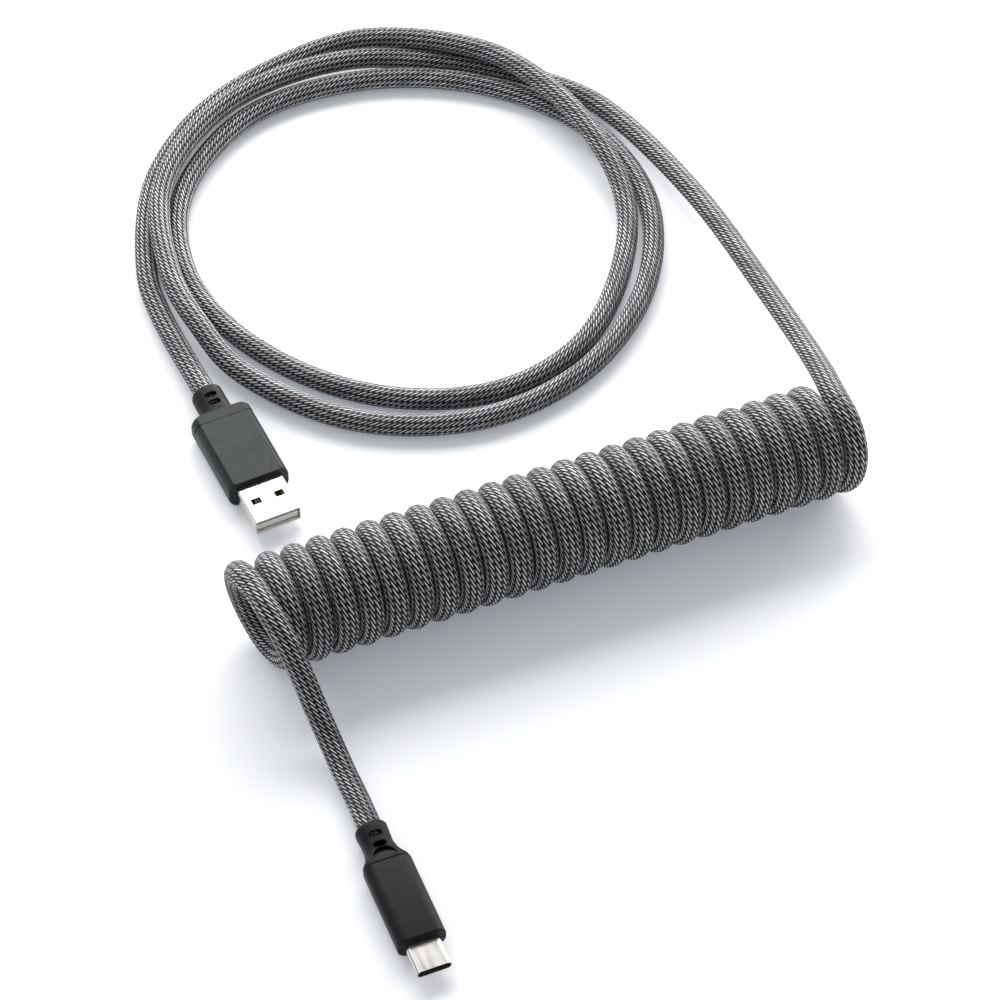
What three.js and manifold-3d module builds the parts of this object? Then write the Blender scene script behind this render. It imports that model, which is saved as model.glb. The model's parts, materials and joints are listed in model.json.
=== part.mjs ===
// Coiled USB-A to USB-C keyboard cable. Millimetres, +Z up, the table is z = 0.
// +X runs along the coil towards the computer end; both plugs point towards -Y.
import * as THREE from 'three';
import Module from 'manifold-3d';

const wasm = await Module();
wasm.setup();

// ---------- driving dimensions ----------
const CORD_D = 5.5;              // braided cord
const COIL = {
  cordD: 5.9,                    // the braid fattens where it is wound
  radius: 11.05,                 // helix radius of the cord's centre
  pitch: 6.19,
  turns: 24,
  x0: -11.8,                     // where the first turn starts, on top
  y: 9.5,
  z: 14.0,
};
const JACKET_D = 3.6;            // inner cable under the braid
const WIRE_D = 0.8;

// Each plug is drawn with its tip at y = 0 and its cord leaving along +Y.
const A = {
  tip: [4.86, 43.05], yaw: 3.8, z: 3.9,
  shellW: 12.0, shellH: 4.5, shellT: 0.35, shellLen: 19,
  bodyW: 15.8, bodyH: 7.8, front: 11.85, seam: 33.2, back: 36.35,
  bootW: 7.9, bootH: 7.4, bootEnd: 45.3,
  slots: [39.2, 41.8], cordStart: 40.6,
};
const C = {
  tip: [-6.2, -88.5], yaw: 0, z: 3.6,
  shellW: 8.25, shellH: 2.4, shellT: 0.2, shellLen: 12.6,
  bodyW: 11.4, bodyH: 6.3, front: 7.35, back: 28.85,
  bootW: 7.6, bootH: 7.1, bootEnd: 39.5,
  slots: [33.1, 36.0], cordStart: 34.8,
};

// Route of the free cord from the USB-A boot, twice round the loop, to the coil.
const HOST_ROUTE = [
  [2.15, 83.6, 3.9], [1.75, 90, 3.9], [0.2, 120, 2.8], [1.4, 134, 2.8], [14.3, 166.5, 2.8],
  [37, 187, 3.4], [71.5, 195.3, 5.6], [88.5, 192, 6.6], [114, 171.5, 8.6], [126, 136, 8.2],
  [124, 106, 4], [98, 71.5, 2.8], [70.5, 63, 2.8], [42, 72.7, 2.8], [20.4, 96.5, 2.8],
  [11, 127, 2.8], [19, 158, 2.8], [45.5, 180.2, 2.8], [78, 182, 2.8], [107.5, 168.5, 2.8],
  [127.8, 143, 2.8], [132, 112, 2.8], [119, 82.5, 2.8], [93, 61.3, 2.8], [63, 56, 2.8],
  [32.8, 67.8, 2.88], [12, 93, 4], [7.5, 109, 6], [6, 127, 7], [14.5, 159.8, 7.2], [40, 182.8, 7],
  [75, 189, 5.2], [105.5, 178, 3], [129.5, 156.5, 2.95], [136.5, 142, 3.4], [142.5, 104, 7],
  [142, 60, 13.6], [138.8, 24, 22.3], [137.3, 15, 24.5], [136.76, 9.5, 25.05],
];
// Route of the short lead from the coil down to the USB-C boot.
const DEVICE_ROUTE = [
  [-11.8, 9.5, 25.05], [-11.2, 3, 25.2], [-9.9, -4, 22.5], [-8.5, -11, 16.7],
  [-7.4, -18, 10.4], [-6.5, -25, 5.6], [-6.1, -32, 3.3], [-5.9, -39, 3.1],
  [-6.0, -46, 3.5], [-6.2, -53.7, 3.6],
];

// ---------- materials ----------
const mat = (color, roughness, metalness) =>
  new THREE.MeshStandardMaterial({ color, roughness, metalness });
const M = {
  braid: mat(0x5b5d60, 0.55, 0),
  greyPlastic: mat(0x4a4e50, 0.45, 0),
  blackPlastic: mat(0x1f2124, 0.45, 0),
  steel: mat(0xc9c5be, 0.25, 1),
  tin: mat(0xb4b4b0, 0.35, 1),
  gold: mat(0xd9a94a, 0.3, 1),
  white: mat(0xe8e8e4, 0.5, 0),
  black: mat(0x17181a, 0.5, 0),
  board: mat(0x1d5a35, 0.5, 0),
  jacket: mat(0x222326, 0.6, 0),
  red: mat(0xb3221f, 0.5, 0),
  green: mat(0x1f7a3c, 0.5, 0),
};

// ---------- shape helpers ----------
// Outline of a rounded rectangle in the x-z plane, always with the same number of points.
function outline(w, h, r, dx = 0, dz = 0, arc = 5) {
  const pts = [];
  const corners = [[1, 1, 0], [-1, 1, 90], [-1, -1, 180], [1, -1, 270]];
  for (const [sx, sz, start] of corners) {
    for (let i = 0; i <= arc; i++) {
      const a = THREE.MathUtils.degToRad(start + 90 * i / arc);
      const x = sx * (w / 2 - r) + r * Math.cos(a) + dx;
      const z = sz * (h / 2 - r) + r * Math.sin(a) + dz;
      pts.push([x, z]);
    }
  }
  return pts;
}

// Closed solid through outlines set at rising y: [{y, w, h, r}, ...].
function loft(sections, arc = 5) {
  const rings = sections.map((s) => outline(s.w, s.h, s.r, s.dx ?? 0, s.dz ?? 0, arc));
  const n = rings[0].length;
  const position = [];
  const index = [];
  rings.forEach((ring, k) => {
    for (const [x, z] of ring) position.push(x, sections[k].y, z);
  });
  for (let k = 0; k + 1 < rings.length; k++) {
    for (let i = 0; i < n; i++) {
      const j = (i + 1) % n;
      const a = k * n + i;
      const b = k * n + j;
      index.push(a, a + n, b, b, a + n, b + n);
    }
  }
  for (const [k, flip] of [[0, false], [rings.length - 1, true]]) {
    const c = position.length / 3;
    position.push(sections[k].dx ?? 0, sections[k].y, sections[k].dz ?? 0);
    for (let i = 0; i < n; i++) {
      const a = k * n + i;
      const b = k * n + (i + 1) % n;
      index.push(...(flip ? [c, b, a] : [c, a, b]));
    }
  }
  const g = new THREE.BufferGeometry();
  g.setAttribute('position', new THREE.Float32BufferAttribute(position, 3));
  g.setIndex(index);
  return g;
}

const bar = (w, h, r, y0, y1, dx = 0, dz = 0, arc = 5) =>
  loft([{ y: y0, w, h, r, dx, dz }, { y: y1, w, h, r, dx, dz }], arc);
const block = (x0, x1, y0, y1, z0, z1) => {
  const g = new THREE.BoxGeometry(x1 - x0, y1 - y0, z1 - z0);
  return g.translate((x0 + x1) / 2, (y0 + y1) / 2, (z0 + z1) / 2);
};
const rod = (d, y0, y1, dx = 0, dz = 0, arc = 5) =>
  bar(d, d, d / 2 - 0.001, y0, y1, dx, dz, arc);

// Bar whose end faces are rounded over by b0 and b1.
function softBar(w, h, r, y0, y1, b0, b1, steps = 4) {
  const sections = [];
  const add = (y, inset) =>
    sections.push({ y, w: w - 2 * inset, h: h - 2 * inset, r: Math.max(r - inset, 0.2) });
  for (let i = b0 > 0 ? 0 : steps; i <= steps; i++) {
    const a = Math.PI / 2 * i / steps;
    add(y0 + b0 * (1 - Math.cos(a)), b0 * (1 - Math.sin(a)));
  }
  for (let i = steps; i >= (b1 > 0 ? 0 : steps); i--) {
    const a = Math.PI / 2 * i / steps;
    add(y1 - b1 * (1 - Math.cos(a)), b1 * (1 - Math.sin(a)));
  }
  return loft(sections);
}

// ---------- solid booleans ----------
function toSolid(geometry) {
  const pos = geometry.attributes.position;
  const index = geometry.index;
  const count = index ? index.count : pos.count;
  const seen = new Map();
  const verts = [];
  const tris = [];
  for (let i = 0; i < count; i++) {
    const v = index ? index.getX(i) : i;
    const p = [pos.getX(v), pos.getY(v), pos.getZ(v)];
    const key = p.map((c) => Math.round(c * 1e5) || 0).join(',');
    if (!seen.has(key)) {
      seen.set(key, verts.length / 3);
      verts.push(...p);
    }
    tris.push(seen.get(key));
  }
  const kept = [];
  for (let i = 0; i < tris.length; i += 3) {
    const [a, b, c] = tris.slice(i, i + 3);
    if (a !== b && b !== c && a !== c) kept.push(a, b, c);
  }
  return new wasm.Manifold(new wasm.Mesh({
    numProp: 3,
    vertProperties: new Float32Array(verts),
    triVerts: new Uint32Array(kept),
  }));
}

function toGeometry(solid) {
  const mesh = solid.getMesh();
  const g = new THREE.BufferGeometry();
  g.setAttribute('position', new THREE.Float32BufferAttribute(mesh.vertProperties, 3));
  g.setIndex(new THREE.Uint32BufferAttribute(mesh.triVerts, 1));
  return g;
}

function cut(base, ...tools) {
  let solid = toSolid(base);
  for (const tool of tools) solid = solid.subtract(toSolid(tool));
  return toGeometry(solid);
}

function join(base, ...others) {
  let solid = toSolid(base);
  for (const other of others) solid = solid.add(toSolid(other));
  return toGeometry(solid);
}

// Tube of `sides` flats along a smooth curve through the points.
function tube(points, diameter, steps, sides = 8) {
  const curve = new THREE.CatmullRomCurve3(
    points.map((p) => new THREE.Vector3(...p)), false, 'centripetal');
  const ring = new THREE.Shape();
  for (let i = 0; i < sides; i++) {
    const a = 2 * Math.PI * i / sides;
    const p = [diameter / 2 * Math.cos(a), diameter / 2 * Math.sin(a)];
    if (i === 0) ring.moveTo(...p);
    else ring.lineTo(...p);
  }
  ring.closePath();
  return new THREE.ExtrudeGeometry(ring, { steps, extrudePath: curve, bevelEnabled: false });
}

function node(name, geometry, material) {
  const mesh = new THREE.Mesh(geometry, material);
  mesh.name = name;
  return mesh;
}

// ---------- USB-A plug ----------
const A_PINS = [-3.5, -1, 1, 3.5];
const A_WIRES = ['red', 'white', 'green', 'black'];

function usbAShell() {
  const { shellW: w, shellH: h, shellT: t, shellLen: len } = A;
  const tools = [bar(w - 2 * t, h - 2 * t, 0.3, -1, len + 1)];
  for (const x of [-3, 3]) tools.push(block(x - 1.25, x + 1.25, 5.2, 7.2, -h, h));
  tools.push(block(-0.9, 0.9, 9.6, 10.4, h / 2 - 0.15, h));   // pressed mark
  return cut(bar(w, h, 0.65, 0, len), ...tools);
}

function usbAInsulator() {
  const low = -A.shellH / 2 + A.shellT + 0.1;
  const tongue = block(-5.5, 5.5, 0.9, 16.6, low, 0);
  const heel = block(-5.5, 5.5, 16.5, 20, low, -low);
  return cut(join(tongue, heel), ...A_PINS.map((x) => block(x - 0.65, x + 0.65, 1.4, 21, -0.15, 0.4)));
}

const usbAContact = (x) => block(x - 0.5, x + 0.5, 1.8, 22.4, -0.02, 0.18);

const usbACan = () => cut(bar(13.4, 6.0, 0.9, 19.3, 27), bar(12.9, 5.5, 0.65, 18, 28));

const usbAMould = () => cut(bar(12.6, 5.2, 0.6, 20.3, 26.6), block(-5, 5, 20, 27, -1.2, 1.5));

function usbAHousing() {
  const { bodyW: w, bodyH: h, front, seam, shellW, shellH } = A;
  return cut(softBar(w, h, 1.7, front, seam, 0.9, 0),
    bar(w - 1.8, h - 1.5, 1.0, front + 1.6, seam + 1),
    bar(shellW + 0.16, shellH + 0.16, 0.7, front - 1, front + 2));
}

function usbAEndCap() {
  const { bodyW: w, bodyH: h, seam, back } = A;
  return cut(softBar(w, h, 1.7, seam + 0.1, back, 0, 0.9), rod(7.0, seam - 1, back + 1));
}

// Strain relief: an oval sleeve with a neck that runs into the plug and two slots on top.
function boot(spec, sections, neckD, neckFrom, boreFrom, extra = []) {
  const front = sections[0].y;
  const body = join(loft(sections), rod(neckD, neckFrom, front + 0.5));
  const tools = [
    ...extra,
    rod(JACKET_D + 0.4, neckFrom - 1, spec.bootEnd),
    rod(CORD_D + 0.5, boreFrom, spec.bootEnd + 1),
  ];
  for (const y of spec.slots) tools.push(loft([
    { y: y - 0.8, w: 1.8, h: 4, r: 0.2, dz: 4 }, { y: y - 0.45, w: 3.2, h: 4, r: 0.2, dz: 4 },
    { y: y + 0.45, w: 3.2, h: 4, r: 0.2, dz: 4 }, { y: y + 0.8, w: 1.8, h: 4, r: 0.2, dz: 4 },
  ]));
  return cut(body, ...tools);
}

function usbABoot() {
  const { bootW: w, bootH: h, back, bootEnd: end } = A;
  return boot(A, [
    { y: back + 0.15, w: w + 0.7, h, r: 3.2 },
    { y: back + 2.4, w: w + 0.1, h, r: 3.4 },
    { y: end - 0.5, w, h, r: 3.5 },
    { y: end, w: w - 0.6, h: h - 0.6, r: 3.2 },
  ], 6.7, A.seam + 0.1, A.cordStart - 1.5);
}

const crimp = (y0, y1) => cut(rod(JACKET_D + 0.9, y0, y1), rod(JACKET_D + 0.3, y0 - 1, y1 + 1));

function usbAPlug() {
  const g = new THREE.Group();
  g.add(node('usb_a_shell', usbAShell(), M.steel));
  g.add(node('usb_a_insulator', usbAInsulator(), M.white));
  A_PINS.forEach((x, i) => g.add(node(`usb_a_contact_${i + 1}`, usbAContact(x), M.gold)));
  g.add(node('usb_a_shield_can', usbACan(), M.tin));
  g.add(node('usb_a_inner_mould', usbAMould(), M.white));
  g.add(node('usb_a_housing', usbAHousing(), M.greyPlastic));
  g.add(node('usb_a_end_cap', usbAEndCap(), M.greyPlastic));
  g.add(node('usb_a_boot', usbABoot(), M.blackPlastic));
  g.add(node('usb_a_crimp_ring', crimp(28.2, 31.2), M.tin));
  g.add(node('usb_a_inner_jacket', rod(JACKET_D, 27.6, A.cordStart - 1.7), M.jacket));
  A_PINS.forEach((x, i) => {
    const path = [[x, 22.7, 0.1], [x, 23.7, 0.1], [x / 2.3, 26.4, 0.1], [x / 2.3, 27.4, 0.1]];
    g.add(node(`usb_a_wire_${A_WIRES[i]}`, tube(path, WIRE_D, 8, 8), M[A_WIRES[i]]));
  });
  return place(g, A);
}

// ---------- USB-C plug ----------
// x position, row (+1 upper, -1 lower) and signal of each fitted contact
const C_PINS = [
  [-2.75, 1, 'gnd_a1'], [-1.25, 1, 'vbus_a4'], [-0.75, 1, 'cc_a5'], [-0.25, 1, 'dp_a6'],
  [0.25, 1, 'dn_a7'], [1.25, 1, 'vbus_a9'], [2.75, 1, 'gnd_a12'],
  [2.75, -1, 'gnd_b1'], [1.25, -1, 'vbus_b4'], [-1.25, -1, 'vbus_b9'], [-2.75, -1, 'gnd_b12'],
];
const C_WIRES = [[-2.4, 'red'], [-0.8, 'white'], [0.8, 'green'], [2.4, 'black']];

function usbCShell() {
  const { shellW: w, shellH: h, shellT: t, shellLen: len } = C;
  return cut(bar(w, h, h / 2 - 0.02, 0, len, 0, 0, 8),
    bar(w - 2 * t, h - 2 * t, h / 2 - t - 0.02, -1, len + 1, 0, 0, 8));
}

function usbCInsulator() {
  const { shellW: w, shellH: h, shellT: t } = C;
  const body = bar(w - 2 * t - 0.2, h - 2 * t - 0.2, h / 2 - t - 0.12, 0.4, 12.3, 0, 0, 6);
  const grooves = C_PINS.map(([x, row]) =>
    block(x - 0.17, x + 0.17, 1.0, 13, Math.min(0.3 * row, 0.74 * row), Math.max(0.3 * row, 0.74 * row)));
  return cut(body, block(-3.42, 3.42, 0, 6.8, -0.42, 0.42), block(-3.5, 3.5, 6.5, 13, -0.2, 0.2), ...grooves);
}

function usbCContact(x, row) {
  const [low, high] = [0.5 * row, 0.62 * row].sort((a, b) => a - b);
  return block(x - 0.11, x + 0.11, 1.2, 15, low, high);
}

// Mid plate whose two side arms latch into the socket.
const usbCLatch = () =>
  cut(block(-3.36, 3.36, 1.2, 12.8, -0.08, 0.08), block(-3.08, 3.08, 0, 7.1, -1, 1));

const usbCBoard = () => block(-3.9, 3.9, 13.1, 20, -0.4, 0.4);
const usbCResistor = () => block(-0.5, 0.5, 17, 17.6, 0.46, 0.8);
const usbCCan = () => cut(bar(9.6, 4.5, 1.9, 12.8, 22.6), bar(9.2, 4.1, 1.7, 12, 23.5));
const usbCMould = () => cut(bar(8.9, 3.8, 1.6, 20.4, 22.4), block(-3.4, 3.4, 20, 23, -1.2, 1.45));

function usbCHousing() {
  const { bodyW: w, bodyH: h, front, back, shellW, shellH } = C;
  return cut(softBar(w, h, 2.6, front, back, 0.8, 0.25),
    bar(w - 1.3, h - 1.3, 2.0, front + 1.5, back - 1.6),
    bar(shellW + 0.16, shellH + 0.16, shellH / 2, front - 1, front + 2, 0, 0, 8),
    rod(5.0, back - 3, back + 1));
}

function usbCBoot() {
  const { bodyW, bodyH, bootW: w, bootH: h, back, bootEnd: end } = C;
  // shallow thumb scoop on top of the flare
  const scoop = new THREE.CylinderGeometry(2.7, 2.7, 3, 24).rotateX(Math.PI / 2);
  scoop.translate(0, back + 0.15, 2.55 + 1.5);
  return boot(C, [
    { y: back + 0.15, w: bodyW - 0.2, h: bodyH, r: 2.7 },
    { y: back + 1.0, w: bodyW - 0.7, h: bodyH, r: 2.7 },
    { y: back + 2.0, w: bodyW - 2.2, h: bodyH + 0.2, r: 2.8 },
    { y: back + 3.4, w: w + 0.4, h: h - 0.4, r: 3.1 },
    { y: back + 5.4, w: w - 0.4, h: h - 0.3, r: 3.2 },
    { y: end - 0.5, w, h, r: 3.4 },
    { y: end, w: w - 0.5, h: h - 0.5, r: 3.1 },
  ], 4.7, back - 1.9, C.cordStart - 1.5, [scoop]);
}

function usbCPlug() {
  const g = new THREE.Group();
  g.add(node('usb_c_shell', usbCShell(), M.steel));
  g.add(node('usb_c_insulator', usbCInsulator(), M.black));
  g.add(node('usb_c_latch_plate', usbCLatch(), M.steel));
  for (const [x, row, name] of C_PINS) {
    g.add(node(`usb_c_contact_${name}`, usbCContact(x, row), M.gold));
  }
  g.add(node('usb_c_board', usbCBoard(), M.board));
  g.add(node('usb_c_resistor', usbCResistor(), M.black));
  g.add(node('usb_c_shield_can', usbCCan(), M.tin));
  g.add(node('usb_c_inner_mould', usbCMould(), M.black));
  g.add(node('usb_c_housing', usbCHousing(), M.blackPlastic));
  g.add(node('usb_c_boot', usbCBoot(), M.blackPlastic));
  g.add(node('usb_c_crimp_ring', crimp(24.9, 26.7), M.tin));
  g.add(node('usb_c_inner_jacket', rod(JACKET_D, 24.3, C.cordStart - 1.7), M.jacket));
  for (const [x, name] of C_WIRES) {
    const path = [[x, 18.2, 0.9], [x, 20.4, 0.9], [x / 1.9, 23.2, 0.1], [x / 1.9, 24.1, 0.1]];
    g.add(node(`usb_c_wire_${name}`, tube(path, WIRE_D, 8, 8), M[name]));
  }
  return place(g, C);
}

function place(group, spec) {
  group.rotation.z = THREE.MathUtils.degToRad(spec.yaw);
  group.position.set(spec.tip[0], spec.tip[1], spec.z);
  return group;
}

// ---------- cord ----------
// The wound part is a plain sleeve of the coil's outer size; its turns are a matter of looks.
function coilSleeve() {
  const outer = COIL.radius + COIL.cordD / 2;
  const inner = COIL.radius - COIL.cordD / 2;
  const start = COIL.cordD / 2 + 1.9;     // clear of the lead that leaves over the first turn
  const end = COIL.cordD / 2 + 0.3;
  const ring = new THREE.Shape().absarc(0, 0, outer, 0, 2 * Math.PI);
  ring.holes.push(new THREE.Path().absarc(0, 0, inner, 0, 2 * Math.PI));
  const depth = COIL.pitch * COIL.turns - start - end;
  const g = new THREE.ExtrudeGeometry(ring, { depth, bevelEnabled: false, curveSegments: 20 });
  return g.rotateY(Math.PI / 2).translate(COIL.x0 + start, COIL.y, COIL.z);
}

const cable = new THREE.Group();
cable.name = 'coiled_keyboard_cable';
cable.add(node('host_lead', tube(HOST_ROUTE, CORD_D, 80), M.braid));
cable.add(node('coil', coilSleeve(), M.braid));
cable.add(node('device_lead', tube(DEVICE_ROUTE, CORD_D, 10), M.braid));
cable.add(usbAPlug(), usbCPlug());

export default cable;
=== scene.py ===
"""Looks of a coiled USB-A to USB-C keyboard cable. Metres, +Z up, the table is z = 0."""
import json
import math

import bpy
import numpy as np
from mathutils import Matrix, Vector


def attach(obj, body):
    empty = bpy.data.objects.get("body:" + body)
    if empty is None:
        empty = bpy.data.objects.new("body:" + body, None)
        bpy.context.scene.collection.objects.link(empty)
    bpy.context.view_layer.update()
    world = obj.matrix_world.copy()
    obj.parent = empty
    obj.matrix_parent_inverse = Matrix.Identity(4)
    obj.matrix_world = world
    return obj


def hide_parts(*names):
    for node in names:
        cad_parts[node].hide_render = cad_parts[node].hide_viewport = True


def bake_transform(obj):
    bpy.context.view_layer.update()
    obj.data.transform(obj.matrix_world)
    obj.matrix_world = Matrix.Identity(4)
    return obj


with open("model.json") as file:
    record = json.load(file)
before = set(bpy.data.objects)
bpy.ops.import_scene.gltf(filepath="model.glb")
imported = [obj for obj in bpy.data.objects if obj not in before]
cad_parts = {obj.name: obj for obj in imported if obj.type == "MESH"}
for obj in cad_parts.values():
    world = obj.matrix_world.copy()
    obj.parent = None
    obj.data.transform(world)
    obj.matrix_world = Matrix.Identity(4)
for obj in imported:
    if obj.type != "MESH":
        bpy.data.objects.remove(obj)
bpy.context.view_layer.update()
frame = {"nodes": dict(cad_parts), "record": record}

MM = 0.001

# ---------- driving dimensions, in millimetres, the same as the CAD part's ----------
CORD_D = 5.5
COIL = {"cord_d": 5.9, "radius": 11.05, "pitch": 6.19, "turns": 24, "x0": -11.8, "y": 9.5, "z": 14.0}
A = {"tip": (4.86, 43.05), "yaw": 3.8, "z": 3.9, "shell_w": 12.0, "shell_h": 4.5,
     "body_w": 15.8, "body_h": 7.8, "front": 11.85, "seam": 33.2, "back": 36.35,
     "boot_w": 7.9, "boot_h": 7.4, "boot_end": 45.3, "slots": (39.2, 41.8), "cord_start": 40.6}
C = {"tip": (-6.2, -88.5), "yaw": 0.0, "z": 3.6, "shell_w": 8.25, "shell_h": 2.4,
     "body_w": 11.4, "body_h": 6.3, "front": 7.35, "back": 28.85,
     "boot_w": 7.6, "boot_h": 7.1, "boot_end": 39.5, "slots": (33.1, 36.0), "cord_start": 34.8}

# The cord's centre line from the USB-A plug, twice round the loop, to the coil's host end.
HOST_ROUTE = [
    (2.15, 83.6, 3.9), (1.75, 90, 3.9), (0.2, 120, 2.8), (1.4, 134, 2.8), (14.3, 166.5, 2.8),
    (37, 187, 3.4), (71.5, 195.3, 5.6), (88.5, 192, 6.6), (114, 171.5, 8.6), (126, 136, 8.2),
    (124, 106, 4), (98, 71.5, 2.8), (70.5, 63, 2.8), (42, 72.7, 2.8), (20.4, 96.5, 2.8),
    (11, 127, 2.8), (19, 158, 2.8), (45.5, 180.2, 2.8), (78, 182, 2.8), (107.5, 168.5, 2.8),
    (127.8, 143, 2.8), (132, 112, 2.8), (119, 82.5, 2.8), (93, 61.3, 2.8), (63, 56, 2.8),
    (32.8, 67.8, 2.88), (12, 93, 4), (7.5, 109, 6), (6, 127, 7), (14.5, 159.8, 7.2),
    (40, 182.8, 7), (75, 189, 5.2), (105.5, 178, 3), (129.5, 156.5, 2.95), (136.5, 142, 3.4),
    (142.5, 104, 7), (142, 60, 13.6), (138.8, 24, 22.3), (137.3, 15, 24.5), (136.76, 9.5, 25.05),
]
# And from the coil's device end to the USB-C plug.
DEVICE_ROUTE = [
    (-11.8, 9.5, 25.05), (-11.2, 3, 25.2), (-9.9, -4, 22.5), (-8.5, -11, 16.7),
    (-7.4, -18, 10.4), (-6.5, -25, 5.6), (-6.1, -32, 3.3), (-5.9, -39, 3.1),
    (-6.0, -46, 3.5), (-6.2, -53.7, 3.6),
]

# Points just past the two outer ends, which give the cord its direction there.
HOST_BEYOND, DEVICE_BEYOND = (2.55, 77.2, 3.9), (-6.2, -60, 3.6)

# Winding: the shape of the coil's turns, which the CAD part shows as a plain sleeve.
LEAN = 0.1               # move along the coil for each millimetre across it
SPREAD = 1.3             # how far the first turn stands off at the device end
SPREAD_AT = 0.2          # the turn where it stands off most
LEAD_IN = 0.08           # share of a turn by which a lead's end looks on into the coil

# Braid: each carrier of the first set passes over three of the second set and under one.
CARRIERS = 24            # each way
REPEAT = 4
LAY = 34.0               # length of one full turn of a carrier
FILAMENTS = 2            # side by side in one carrier
RELIEF = 0.17            # how far a float stands above the crossings
MEAN_BUMP = 0.6          # share of the relief that lies inside the cord's nominal radius
SIDES = 72               # mesh points round the cord
RING = 0.4               # mesh step along the cord
EASE = 30.0              # length over which the cord swells from its free to its wound size
DRAWN_IN = 0.95          # how much thinner, in radius, the cord is at its very ends
DRAWN_FROM, DRAWN_TO = 2.0, 3.4    # distances from an end between which it reaches full size


# ---------- camera ----------
EYE = Vector((-135.5, -444.5, 612.8)) * MM
LOOK_AT = Vector((58.0, 32.0, 0.0)) * MM
LENS, SENSOR = 118.08, 36.0


def add_camera():
    data = bpy.data.cameras.new("camera")
    data.lens, data.sensor_width = LENS, SENSOR
    data.clip_start, data.clip_end = 0.05, 10.0
    camera = bpy.data.objects.new("camera", data)
    bpy.context.scene.collection.objects.link(camera)
    camera.location = EYE
    camera.rotation_euler = (LOOK_AT - EYE).to_track_quat("-Z", "Y").to_euler()
    bpy.context.scene.camera = camera


# ---------- cord geometry ----------
def smooth(t):
    """From 0 to 1 with level ends."""
    return t * t * (3 - 2 * t)


def spline(points, before, after, step=0.25):
    """Points along a centripetal Catmull-Rom curve; before and after steer its two ends."""
    p = np.array([before, *points, after], float)
    out = []
    for p0, p1, p2, p3 in zip(p, p[1:], p[2:], p[3:]):
        t0 = 0.0
        t1 = t0 + math.sqrt(np.linalg.norm(p1 - p0))
        t2 = t1 + math.sqrt(np.linalg.norm(p2 - p1))
        t3 = t2 + math.sqrt(np.linalg.norm(p3 - p2))
        n = max(2, round(np.linalg.norm(p2 - p1) / step))
        t = np.linspace(t1, t2, n, endpoint=False)[:, None]
        a1 = ((t1 - t) * p0 + (t - t0) * p1) / (t1 - t0)
        a2 = ((t2 - t) * p1 + (t - t1) * p2) / (t2 - t1)
        a3 = ((t3 - t) * p2 + (t - t2) * p3) / (t3 - t2)
        b1 = ((t2 - t) * a1 + (t - t0) * a2) / (t2 - t0)
        b2 = ((t3 - t) * a2 + (t - t1) * a3) / (t3 - t1)
        out.append(((t2 - t) * b1 + (t - t1) * b2) / (t2 - t1))
    return np.vstack([*out, p[-2:-1]])


def helix(turn):
    """The cord's centre in the coil, turn 0 at the device end and 24 at the host end."""
    angle = 2 * math.pi * np.asarray(turn, float)
    side = COIL["radius"] * np.sin(angle)
    near = turn / SPREAD_AT
    x = COIL["x0"] + COIL["pitch"] * turn - LEAN * side - SPREAD * near * np.exp(1 - near)
    return np.stack([x, COIL["y"] + side, COIL["z"] + COIL["radius"] * np.cos(angle)], -1)


def lengths(path):
    """The distance along a path at each of its points."""
    return np.r_[0, np.cumsum(np.linalg.norm(np.diff(path, axis=0), axis=1))]


def even(path, step):
    """The same path with points an equal distance apart."""
    s = lengths(path)
    wanted = np.linspace(0, s[-1], round(s[-1] / step) + 1)
    return np.stack([np.interp(wanted, s, path[:, k]) for k in range(3)], -1)


def carried_frames(path):
    """A direction across the path at each point, carried along it without twist, and its mate."""
    tangent = np.gradient(path, axis=0)
    tangent /= np.linalg.norm(tangent, axis=1)[:, None]
    across = np.empty_like(path)
    last = np.cross(tangent[0], (0, 0, 1))
    for k, t in enumerate(tangent):
        last = last - t * (last @ t)
        last /= np.linalg.norm(last)
        across[k] = last
    return across, np.cross(tangent, across)


def floats(a, b):
    """For braid coordinates a and b: place across the carrier on top, and along its float."""
    q = np.mod(np.floor(a) + np.floor(b), REPEAT)
    fa, fb = a - np.floor(a), b - np.floor(b)
    first = q < REPEAT - 1
    across = np.where(first, fa, fb)
    along = np.where(first, (q + fb) / (REPEAT - 1), fa)
    return across, along


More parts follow.
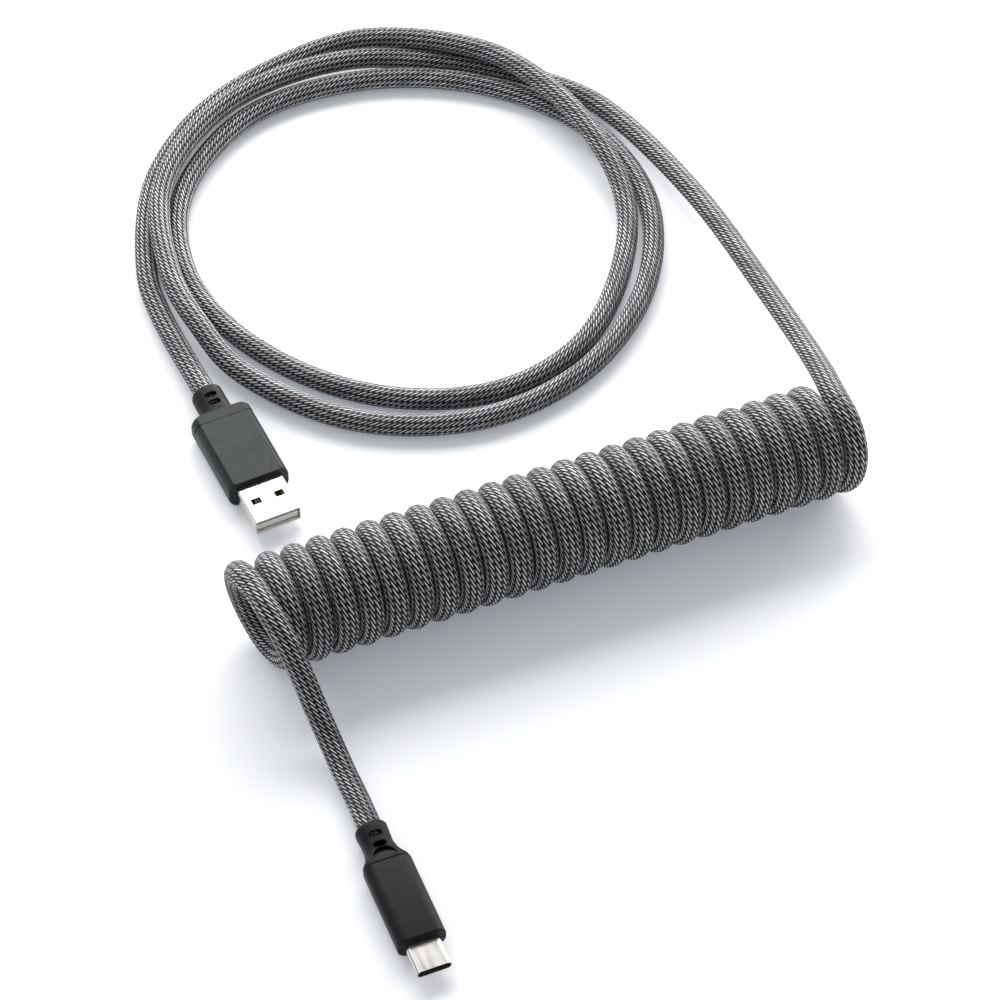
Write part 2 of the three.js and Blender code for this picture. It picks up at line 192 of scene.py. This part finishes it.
def braided_tube(name, path, across, mate, radius, phase):
    """A closed tube round the path, with the braid's floats as relief and its lay in a UV map."""
    turn = np.arange(SIDES) / SIDES
    a = CARRIERS * (turn[None] + phase[:, None])
    b = CARRIERS * (turn[None] - phase[:, None])
    side, along = floats(a, b)
    bump = np.sin(np.pi * along) ** 0.7 * (1 - (2 * side - 1) ** 4)
    r = radius[:, None] + RELIEF * (bump - MEAN_BUMP)
    angle = 2 * math.pi * turn
    out = np.cos(angle)[None, :, None] * across[:, None] + np.sin(angle)[None, :, None] * mate[:, None]
    points = (path[:, None] + r[..., None] * out).reshape(-1, 3) * MM
    k = np.arange(len(path) - 1)[:, None]
    j = np.arange(SIDES)[None]
    here, beside = k * SIDES + j, k * SIDES + (j + 1) % SIDES
    quads = np.stack([here, beside, beside + SIDES, here + SIDES], -1).reshape(-1, 4)
    last = (len(path) - 1) * SIDES
    caps = [list(range(SIDES))[::-1], list(range(last, last + SIDES))]
    mesh = bpy.data.meshes.new(name)
    mesh.from_pydata(points.tolist(), [], quads.tolist() + caps)
    k, j = np.broadcast_arrays(k, j)
    u = np.stack([j, j + 1, j + 1, j], -1) / SIDES
    v = np.stack([phase[k], phase[k], phase[k + 1], phase[k + 1]], -1)
    uv = np.stack([u, v], -1).reshape(-1, 2)
    cap_uv = np.zeros((2 * SIDES, 2))
    layer = mesh.uv_layers.new(name="braid")
    layer.data.foreach_set("uv", np.vstack([uv, cap_uv]).astype(np.float32).ravel())
    mesh.shade_smooth()
    piece = bpy.data.objects.new(name, mesh)
    bpy.context.scene.collection.objects.link(piece)
    return piece


def wound(s, coil_from, coil_to):
    """From 0 on the free cord to 1 where it is wound, at a distance s along the whole cord."""
    rise = np.clip((s - coil_from + EASE) / EASE, 0, 1)
    fall = np.clip((coil_to + EASE - s) / EASE, 0, 1)
    return smooth(np.minimum(rise, fall))


def add_cords():
    """The three cords as one braid, each with its path and its length in metres."""
    turns = COIL["turns"]
    host = even(spline(HOST_ROUTE, HOST_BEYOND, helix(turns - LEAD_IN)), RING)
    coil = even(helix(np.linspace(turns, 0, turns * 360 + 1)), RING)
    device = even(spline(DEVICE_ROUTE, helix(LEAD_IN), DEVICE_BEYOND), RING)
    whole = np.vstack([host, coil[1:], device[1:]])
    s = lengths(whole)
    across, mate = carried_frames(whole)
    first, second = len(host) - 1, len(host) + len(coil) - 2
    radius = CORD_D / 2 + (COIL["cord_d"] - CORD_D) / 2 * wound(s, s[first], s[second])
    for from_end in (s, s[-1] - s):
        # inside a strain relief the cord is drawn in, clear of the slots
        t = np.clip((from_end - DRAWN_FROM) / (DRAWN_TO - DRAWN_FROM), 0, 1)
        radius -= DRAWN_IN * (1 - smooth(t))
    phase = s / LAY
    cuts = [("braided_host_cord", 0, first), ("braided_coil", first, second),
            ("braided_device_cord", second, len(whole) - 1)]
    made = []
    for name, start, end in cuts:
        k = slice(start, end + 1)
        piece = braided_tube(name, whole[k], across[k], mate[k], radius[k], phase[k])
        made.append((piece, whole[k] * MM, (s[end] - s[start]) * MM))
    return made


# ---------- node graphs ----------
class Graph:
    """Short ways to write a material's nodes."""

    def __init__(self, name):
        self.material = bpy.data.materials.new(name)
        self.material.use_nodes = True
        self.tree = self.material.node_tree
        self.shader = self.tree.nodes["Principled BSDF"]

    def node(self, kind, **values):
        made = self.tree.nodes.new("ShaderNode" + kind)
        for key, value in values.items():
            setattr(made, key, value)
        return made

    def link(self, value, socket):
        if isinstance(value, bpy.types.NodeSocket):
            self.tree.links.new(value, socket)
        else:
            socket.default_value = value

    def math(self, operation, *values):
        made = self.node("Math", operation=operation)
        for value, socket in zip(values, made.inputs):
            self.link(value, socket)
        return made.outputs[0]

    def mix(self, factor, low, high):
        made = self.node("Mix", data_type="RGBA")
        for value, key in ((factor, "Factor_Float"), (low, "A_Color"), (high, "B_Color")):
            self.link(value, next(s for s in made.inputs if s.identifier == key))
        return next(s for s in made.outputs if s.identifier == "Result_Color")

    def noise(self, scale, detail=3.0, stretch=(1, 1, 1)):
        place = self.node("TexCoord").outputs["Object"]
        mapping = self.node("Mapping")
        mapping.inputs["Scale"].default_value = stretch
        self.link(place, mapping.inputs["Vector"])
        made = self.node("TexNoise")
        self.link(mapping.outputs[0], made.inputs["Vector"])
        made.inputs["Scale"].default_value = scale
        made.inputs["Detail"].default_value = detail
        return made.outputs["Fac"]

    def ramp(self, value, low, high, to_low, to_high):
        made = self.node("MapRange")
        for key, number in (("From Min", low), ("From Max", high), ("To Min", to_low), ("To Max", to_high)):
            made.inputs[key].default_value = number
        self.link(value, made.inputs["Value"])
        return made.outputs[0]

    def bump(self, height, distance):
        made = self.node("Bump")
        made.inputs["Strength"].default_value = 1.0
        made.inputs["Distance"].default_value = distance
        self.link(height, made.inputs["Height"])
        return made.outputs[0]


# Yarn colours, each on the crown of a filament, and darkened almost to black in the groove beside it and
# where a float dips under, which is painted shade.
PALE, PALE_IN_PAINTED_SHADE = (0.94, 0.95, 0.97, 1), (0.002, 0.002, 0.002, 1)
DARK, DARK_IN_PAINTED_SHADE = (0.006, 0.006, 0.008, 1), (0.001, 0.001, 0.001, 1)
PALE_LANES = 1.1         # width of the pale part of a carrier, in filaments
SECOND_SET = 0.12        # how pale the second set's pale filaments are, against the first's


def braid_material():
    """Two-tone braid: in each carrier one filament is pale and the other dark, with painted shade in the
    grooves and a painted highlight on the pale crowns.
    """
    g = Graph("braid")
    uv = g.node("UVMap", uv_map="braid").outputs[0]
    split = g.node("SeparateXYZ")
    g.link(uv, split.inputs[0])
    u, v = split.outputs[0], split.outputs[1]
    a = g.math("MULTIPLY", g.math("ADD", u, v), CARRIERS)
    b = g.math("MULTIPLY", g.math("SUBTRACT", u, v), CARRIERS)
    i, j = g.math("FLOOR", a), g.math("FLOOR", b)
    fa, fb = g.math("SUBTRACT", a, i), g.math("SUBTRACT", b, j)
    q = g.math("FLOORED_MODULO", g.math("ADD", i, j), float(REPEAT))
    first = g.math("LESS_THAN", q, REPEAT - 1.5)
    second = g.math("SUBTRACT", 1.0, first)

    def pick(one, other):
        return g.math("ADD", g.math("MULTIPLY", one, first), g.math("MULTIPLY", other, second))

    across = pick(fa, fb)
    along = pick(g.math("DIVIDE", g.math("ADD", q, fb), REPEAT - 1.0), fa)
    lane = g.math("MULTIPLY", across, float(FILAMENTS))
    index = g.math("FLOOR", lane)
    place = g.math("SUBTRACT", lane, index)
    # round profile of one filament, and the crown of one float
    offset = g.math("SUBTRACT", g.math("MULTIPLY", place, 2.0), 1.0)
    squared = g.math("MULTIPLY", offset, offset)
    profile = g.math("SQRT", g.math("MAXIMUM", g.math("SUBTRACT", 1.0, squared), 0.0))
    crown = g.math("SQRT", g.math("MAXIMUM", g.math("SINE", g.math("MULTIPLY", along, math.pi)), 0.0))
    height = g.math("MULTIPLY", profile, g.math("ADD", g.math("MULTIPLY", crown, 0.6), 0.4))
    # the strands differ a little in tone
    light = g.math("LESS_THAN", lane, PALE_LANES)
    strand = g.node("CombineXYZ")
    g.link(g.math("ADD", pick(i, j), g.math("MULTIPLY", second, 57.0)), strand.inputs[0])
    g.link(index, strand.inputs[1])
    vary = g.node("TexWhiteNoise", noise_dimensions="3D")
    g.link(strand.outputs[0], vary.inputs["Vector"])
    tone = g.ramp(vary.outputs["Value"], 0.0, 1.0, 0.5, 1.0)
    # painted shade: the colour darkens from each crown into the grooves and the floats' ends, times the
    # strand's own tone
    shade = g.math("MULTIPLY", tone, g.ramp(height, 0.30, 0.85, 0.0, 1.0))
    of_set = g.math("ADD", g.math("MULTIPLY", first, 1 - SECOND_SET), SECOND_SET)
    paleness = g.math("MULTIPLY", light, of_set)
    # the pale crown is the white filament's own colour lifted to stand in for its glints, a painted
    # highlight
    pale = g.mix(shade, PALE_IN_PAINTED_SHADE, PALE)
    dark = g.mix(shade, DARK_IN_PAINTED_SHADE, DARK)
    g.shader.inputs["Specular IOR Level"].default_value = 0.22
    g.link(g.mix(paleness, dark, pale), g.shader.inputs["Base Color"])
    g.link(g.ramp(height, 0.2, 1.0, 0.70, 0.28), g.shader.inputs["Roughness"])
    g.link(g.bump(height, 0.16 * MM), g.shader.inputs["Normal"])
    return g.material


def moulded(name, colour, roughness, grain=0.012, tint=0.18):
    """Moulded plastic or rubber: fine spark-eroded grain and slightly uneven gloss."""
    g = Graph(name)
    broad = g.noise(90.0, 2.0)
    low = tuple(c * (1 - tint) for c in colour) + (1,)
    high = tuple(min(1, c * (1 + tint)) for c in colour) + (1,)
    g.link(g.mix(broad, low, high), g.shader.inputs["Base Color"])
    fine = g.noise(5200.0, 4.0)
    gloss = g.ramp(g.noise(700.0, 4.0), 0.3, 0.7, roughness - 0.05, roughness + 0.07)
    g.link(gloss, g.shader.inputs["Roughness"])
    g.link(g.bump(fine, grain * MM), g.shader.inputs["Normal"])
    g.shader.inputs["Specular IOR Level"].default_value = 0.16
    return g.material


def plated(name, colour, roughness, streak=(1, 1, 1)):
    """Plated sheet metal: rolled streaks and faint handling marks in its gloss."""
    g = Graph(name)
    g.shader.inputs["Metallic"].default_value = 1.0
    marks = g.noise(450.0, 5.0, streak)
    low = tuple(c * 0.86 for c in colour) + (1,)
    g.link(g.mix(g.noise(160.0, 3.0), low, (*colour, 1)), g.shader.inputs["Base Color"])
    g.link(g.ramp(marks, 0.3, 0.7, roughness * 0.75, roughness * 1.35), g.shader.inputs["Roughness"])
    g.link(g.bump(marks, 0.004 * MM), g.shader.inputs["Normal"])
    return g.material


def add_materials():
    return {
        "braid": braid_material(),
        "housing_grey": moulded("housing_grey", (0.022, 0.026, 0.027), 0.40),
        "housing_black": moulded("housing_black", (0.006, 0.0065, 0.008), 0.44),
        "boot_rubber": moulded("boot_rubber", (0.007, 0.007, 0.008), 0.52, 0.02),
        "nickel": plated("nickel", (0.80, 0.77, 0.72), 0.20, (1, 0.1, 1)),
        "tin": plated("tin", (0.66, 0.66, 0.64), 0.36),
        "gold": plated("gold", (0.86, 0.62, 0.24), 0.22),
        "white_plastic": moulded("white_plastic", (0.80, 0.80, 0.77), 0.38, tint=0.04),
        "black_plastic": moulded("black_plastic", (0.012, 0.012, 0.013), 0.42),
        "board": moulded("board", (0.012, 0.11, 0.035), 0.35),
        "jacket": moulded("jacket", (0.014, 0.014, 0.016), 0.55, 0.02),
        "wire_red": moulded("wire_red", (0.45, 0.012, 0.010), 0.42),
        "wire_white": moulded("wire_white", (0.80, 0.80, 0.77), 0.42, tint=0.04),
        "wire_green": moulded("wire_green", (0.012, 0.19, 0.045), 0.42),
        "wire_black": moulded("wire_black", (0.012, 0.012, 0.013), 0.42),
    }


# ---------- plugs ----------
CLEAR = 0.16             # play between a shell and its housing, and the width of a seam
CORD_PLAY = 0.5          # how much wider a strain relief's mouth is than the cord
WIRE_BORE = 4.0          # bore of a strain relief for the inner cable
PAST = 1.0               # how far a cutter reaches past the face that it opens
SIDE_R, SIDE_RISE = 3.5, 1.06    # round sides of the USB-A housing, cut level top and bottom


def outline(w, h, r, dx, dz, arc):
    """A rectangle with round corners, moved by dx and dz."""
    points = []
    for sx, sz, start in ((1, 1, 0), (-1, 1, 90), (-1, -1, 180), (1, -1, 270)):
        for i in range(arc + 1):
            t = math.radians(start + 90 * i / arc)
            x = sx * (w / 2 - r) + r * math.cos(t) + dx
            points.append((x, sz * (h / 2 - r) + r * math.sin(t) + dz))
    return points


def loft(sections, arc=14, flat=None):
    """Points and faces of a closed body through rounded outlines: (y, w, h, r, dx, dz)."""
    rings = [outline(w, h, r, dx, dz, arc) for _, w, h, r, dx, dz in sections]
    if flat:        # the outline is cut off level this far above and below the middle
        rings = [[(x, max(-flat, min(flat, z))) for x, z in ring] for ring in rings]
    n = len(rings[0])
    points = [(x, s[0], z) for ring, s in zip(rings, sections) for x, z in ring]
    faces = [list(range(n)), list(range((len(rings) - 1) * n, len(rings) * n))[::-1]]
    for k in range(len(rings) - 1):
        for i in range(n):
            j = (i + 1) % n
            faces.append([k * n + i, (k + 1) * n + i, (k + 1) * n + j, k * n + j])
    return points, faces


def bar(w, h, r, y0, y1):
    return loft([(y0, w, h, r, 0.0, 0.0), (y1, w, h, r, 0.0, 0.0)])


def rod(d, y0, y1):
    return bar(d, d, d / 2 - 0.001, y0, y1)


def soft_bar(w, h, r, y0, y1, b0, b1, flat=None, steps=8):
    """Bar whose end faces are rounded over by b0 and b1."""
    sections = []
    for y, back, b in ((y0, 1, b0), (y1, -1, b1)):
        row = []
        for i in range(steps + 1):
            t = math.pi / 2 * i / steps
            inset = b * (1 - math.sin(t))
            along = y + back * b * (1 - math.cos(t))
            row.append((along, w - 2 * inset, h - 2 * inset, r - inset, 0.0, 0.0))
        sections += row if back > 0 else row[::-1]
    return loft(sections, flat=flat)


def smooth_sections(rows, per=6):
    """More sections between the given ones, eased so that the outline runs smoothly through."""
    rows = np.array([(*row, 0.0, 0.0)[:6] for row in rows], float)
    p = np.vstack([2 * rows[0] - rows[1], rows, 2 * rows[-1] - rows[-2]])
    out = []
    for k in range(1, len(rows)):
        y0, y1, y2, y3 = p[k - 1:k + 3, 0]
        m1 = (p[k + 1] - p[k - 1]) / (y2 - y0)
        m2 = (p[k + 2] - p[k]) / (y3 - y1)
        d = y2 - y1
        for t in np.linspace(0, 1, per, endpoint=False):
            h1, h2 = 2 * t**3 - 3 * t**2 + 1, t**3 - 2 * t**2 + t
            h3, h4 = -2 * t**3 + 3 * t**2, t**3 - t**2
            row = h1 * p[k] + h2 * d * m1 + h3 * p[k + 1] + h4 * d * m2
            row[0] = y1 + d * t
            out.append(tuple(row))
    out.append(tuple(rows[-1]))
    return out


def build(name, shape, spec):
    """An object from points and faces in the plug's own frame, in millimetres."""
    points, faces = shape
    turn = math.radians(spec["yaw"])
    c, s = math.cos(turn), math.sin(turn)
    x0, y0 = spec["tip"]
    placed = [((x * c - y * s + x0) * MM, (x * s + y * c + y0) * MM, (z + spec["z"]) * MM)
              for x, y, z in points]
    mesh = bpy.data.meshes.new(name)
    mesh.from_pydata(placed, [], faces)
    piece = bpy.data.objects.new(name, mesh)
    bpy.context.scene.collection.objects.link(piece)
    return piece


def combine(piece, operation, *shapes, spec):
    """Cuts or joins other shapes and keeps the result as the piece's own mesh."""
    for shape in shapes:
        other = build("tool", shape, spec)
        modifier = piece.modifiers.new("cut", "BOOLEAN")
        modifier.operation, modifier.solver, modifier.object = operation, "EXACT", other
        bpy.context.view_layer.update()
        mesh = bpy.data.meshes.new_from_object(piece.evaluated_get(bpy.context.evaluated_depsgraph_get()))
        piece.modifiers.clear()
        piece.data = mesh
        bpy.data.objects.remove(other)


def finish_edges(piece, angle=32.0):
    """Smooth shading, except across edges sharper than the angle."""
    piece.data.shade_smooth()
    piece.data.set_sharp_from_angle(angle=math.radians(angle))


def slot_cutter(y):
    """A slot across the top of a strain relief, with round ends."""
    rows = []
    for i in range(9):
        t = -1 + i / 4
        rows.append((y + 0.8 * t, 1.7 + 1.5 * math.sqrt(max(0.0, 1 - t * t)), 4.0, 0.3, 0.0, 4.0))
    return loft(rows, 4)


def usb_a_pieces():
    """The housing, its end cap and the strain relief, each with its CAD node and material."""
    w, h, front, seam, back = A["body_w"], A["body_h"], A["front"], A["seam"], A["back"]
    boot_w, boot_h, end = A["boot_w"], A["boot_h"], A["boot_end"]
    body = soft_bar(w, h + SIDE_RISE, SIDE_R, front, seam, 0.3, 0.18, h / 2)
    housing = build("usb_a_grey_housing", body, A)
    combine(housing, "DIFFERENCE",
            bar(w - 1.8, h - 1.5, 1.0, front + 1.6, seam + PAST),
            bar(A["shell_w"] + CLEAR, A["shell_h"] + CLEAR, 0.7, front - PAST, front + 2), spec=A)
    tail = soft_bar(w, h + SIDE_RISE, SIDE_R, seam + CLEAR, back, 0.18, 0.9, h / 2)
    cap = build("usb_a_grey_end_cap", tail, A)
    combine(cap, "DIFFERENCE", rod(7.0, seam - PAST, back + PAST), spec=A)
    rows = smooth_sections([
        (back + 0.15, boot_w + 0.7, boot_h, 3.2),
        (back + 2.4, boot_w + 0.1, boot_h, 3.4),
        (end - 0.5, boot_w, boot_h, 3.5),
        (end, boot_w - 0.6, boot_h - 0.6, 3.2)])
    boot = build("usb_a_strain_relief", loft(rows), A)
    combine(boot, "UNION", rod(6.7, seam + 0.1, back + 0.6), spec=A)
    combine(boot, "DIFFERENCE", rod(WIRE_BORE, seam - PAST, end),
            rod(CORD_D + CORD_PLAY, A["cord_start"] - 1.5, end + PAST),
            *[slot_cutter(y) for y in A["slots"]], spec=A)
    return [(housing, "usb_a_housing", "housing_grey"), (cap, "usb_a_end_cap", "housing_grey"),
            (boot, "usb_a_boot", "boot_rubber")]


def dish_cutter(y, width, length, depth, top):
    """A thumb-shaped recess: straight at the front, round at the back, deepest at the back."""
    rows = []
    for i in range(15):
        t = math.sin(math.pi / 2 * i / 14)
        high = 3.0 + depth * (0.25 + 0.75 * t)
        across = 0.3 + width * math.sqrt(1 - t * t)
        rows.append((y + length * t, across, high, 0.14, 0.0, top + 3.0 - high / 2))
    return loft(rows, 3)


def usb_c_pieces():
    """The housing and the strain relief, each with its CAD node and material."""
    w, h, front, back = C["body_w"], C["body_h"], C["front"], C["back"]
    boot_w, boot_h, end = C["boot_w"], C["boot_h"], C["boot_end"]
    shell_w, shell_h = C["shell_w"], C["shell_h"]
    housing = build("usb_c_black_housing", soft_bar(w, h, 2.6, front, back, 0.35, 0.25), C)
    combine(housing, "DIFFERENCE",
            bar(w - 1.3, h - 1.3, 2.0, front + 1.5, back - 1.6),
            bar(shell_w + CLEAR, shell_h + CLEAR, shell_h / 2, front - PAST, front + 2),
            rod(5.0, back - 3, back + PAST), spec=C)
    rows = smooth_sections([
        (back + 0.15, w - 0.2, h, 2.7),
        (back + 1.0, w - 0.7, h, 2.7),
        (back + 2.0, w - 2.2, h + 0.2, 2.8),
        (back + 3.4, boot_w + 0.4, boot_h - 0.4, 3.1),
        (back + 5.4, boot_w - 0.4, boot_h - 0.3, 3.2),
        (end - 0.5, boot_w, boot_h, 3.4),
        (end, boot_w - 0.5, boot_h - 0.5, 3.1)])
    boot = build("usb_c_strain_relief", loft(rows), C)
    combine(boot, "UNION", rod(4.7, back - 1.9, back + 0.6), spec=C)
    combine(boot, "DIFFERENCE", rod(WIRE_BORE, back - 3, end),
            rod(CORD_D + CORD_PLAY, C["cord_start"] - 1.5, end + PAST),
            dish_cutter(back + 0.5, 5.4, 2.9, 0.95, h / 2 + 0.1),
            *[slot_cutter(y) for y in C["slots"]], spec=C)
    return [(housing, "usb_c_housing", "housing_black"), (boot, "usb_c_boot", "housing_black")]


# ---------- stage, in metres ----------
SKY = 0.36               # strength of the even light from all round
FLOOR_HALF = 2.0
FLOOR_GLOW = 0.2         # lifts the shadows on the floor
LIT = (0.06, 0.06, 0.0)  # where every light points
LIGHTS = {               # place, size, power, colour
    "high": ((0.25, 0.88, 0.85), (1.3, 0.5), 15.5, (1, 1, 1)),
    "back": ((0.15, 1.20, 0.26), (1.7, 0.3), 12.0, (1, 1, 1)),
    "right": ((1.00, 0.72, 0.28), (1.1, 0.3), 13.0, (1, 1, 1)),
    "left": ((-0.60, 0.45, 0.80), (0.5, 0.5), 1.0, (0.93, 0.96, 1.0)),
}


def add_light(name, place, size, power, colour):
    data = bpy.data.lights.new(name, "AREA")
    data.shape, data.size, data.size_y = "RECTANGLE", size[0], size[1]
    data.energy, data.color = power, colour
    light = bpy.data.objects.new(name, data)
    bpy.context.scene.collection.objects.link(light)
    light.location = place
    light.rotation_euler = (Vector(LIT) - Vector(place)).to_track_quat("-Z", "Y").to_euler()


def add_floor():
    n = FLOOR_HALF
    mesh = bpy.data.meshes.new("floor")
    mesh.from_pydata([(-n, -n, 0), (n, -n, 0), (n, n, 0), (-n, n, 0)], [], [(0, 1, 2, 3)])
    floor = bpy.data.objects.new("floor", mesh)
    bpy.context.scene.collection.objects.link(floor)
    g = Graph("floor")
    white = g.mix(g.noise(3.0, 1.0), (0.90, 0.90, 0.90, 1), (0.92, 0.92, 0.92, 1))
    g.link(white, g.shader.inputs["Base Color"])
    g.shader.inputs["Roughness"].default_value = 0.9
    g.shader.inputs["Specular IOR Level"].default_value = 0.1
    g.shader.inputs["Emission Color"].default_value = (0.86, 0.91, 1.0, 1)
    g.shader.inputs["Emission Strength"].default_value = FLOOR_GLOW
    mesh.materials.append(g.material)


def add_stage():
    scene = bpy.context.scene
    scene.view_settings.view_transform = "Standard"
    scene.view_settings.look = "None"
    world = bpy.data.worlds.new("studio")
    scene.world = world
    world.use_nodes = True
    sky = world.node_tree.nodes["Background"]
    sky.inputs["Color"].default_value = (0.95, 0.97, 1.0, 1)
    sky.inputs["Strength"].default_value = SKY
    add_floor()
    for name, settings in LIGHTS.items():
        add_light(name, *settings)


# ---------- assembly ----------
def paint_nodes(materials):
    """Gives every CAD node that stays in view the material of its own slot."""
    slots = {part["node"]: part["material_slot"] for part in frame["record"]["subparts"]}
    for name, node in frame["nodes"].items():
        node.data.materials.clear()
        node.data.materials.append(materials[slots[name]])


def main():
    add_camera()
    cords = add_cords()
    host, host_path, host_length = cords[0]
    coil, coil_path, coil_length = cords[1]
    device, device_path, device_length = cords[2]
    materials = add_materials()
    for piece, node in ((host, "host_lead"), (coil, "coil"), (device, "device_lead")):
        piece.data.materials.append(materials["braid"])
        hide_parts(node)
    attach(host, "host_cord")
    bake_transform(device)
    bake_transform(coil)
    plug_pieces = {"usb_a_plug": [], "usb_c_plug": []}
    for body, made in (("usb_a_plug", usb_a_pieces()), ("usb_c_plug", usb_c_pieces())):
        for piece, node, name in made:
            finish_edges(piece)
            piece.data.materials.append(materials[name])
            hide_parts(node)
            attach(piece, body)
            plug_pieces[body].append(piece)
    paint_nodes(materials)
    add_stage()


main()
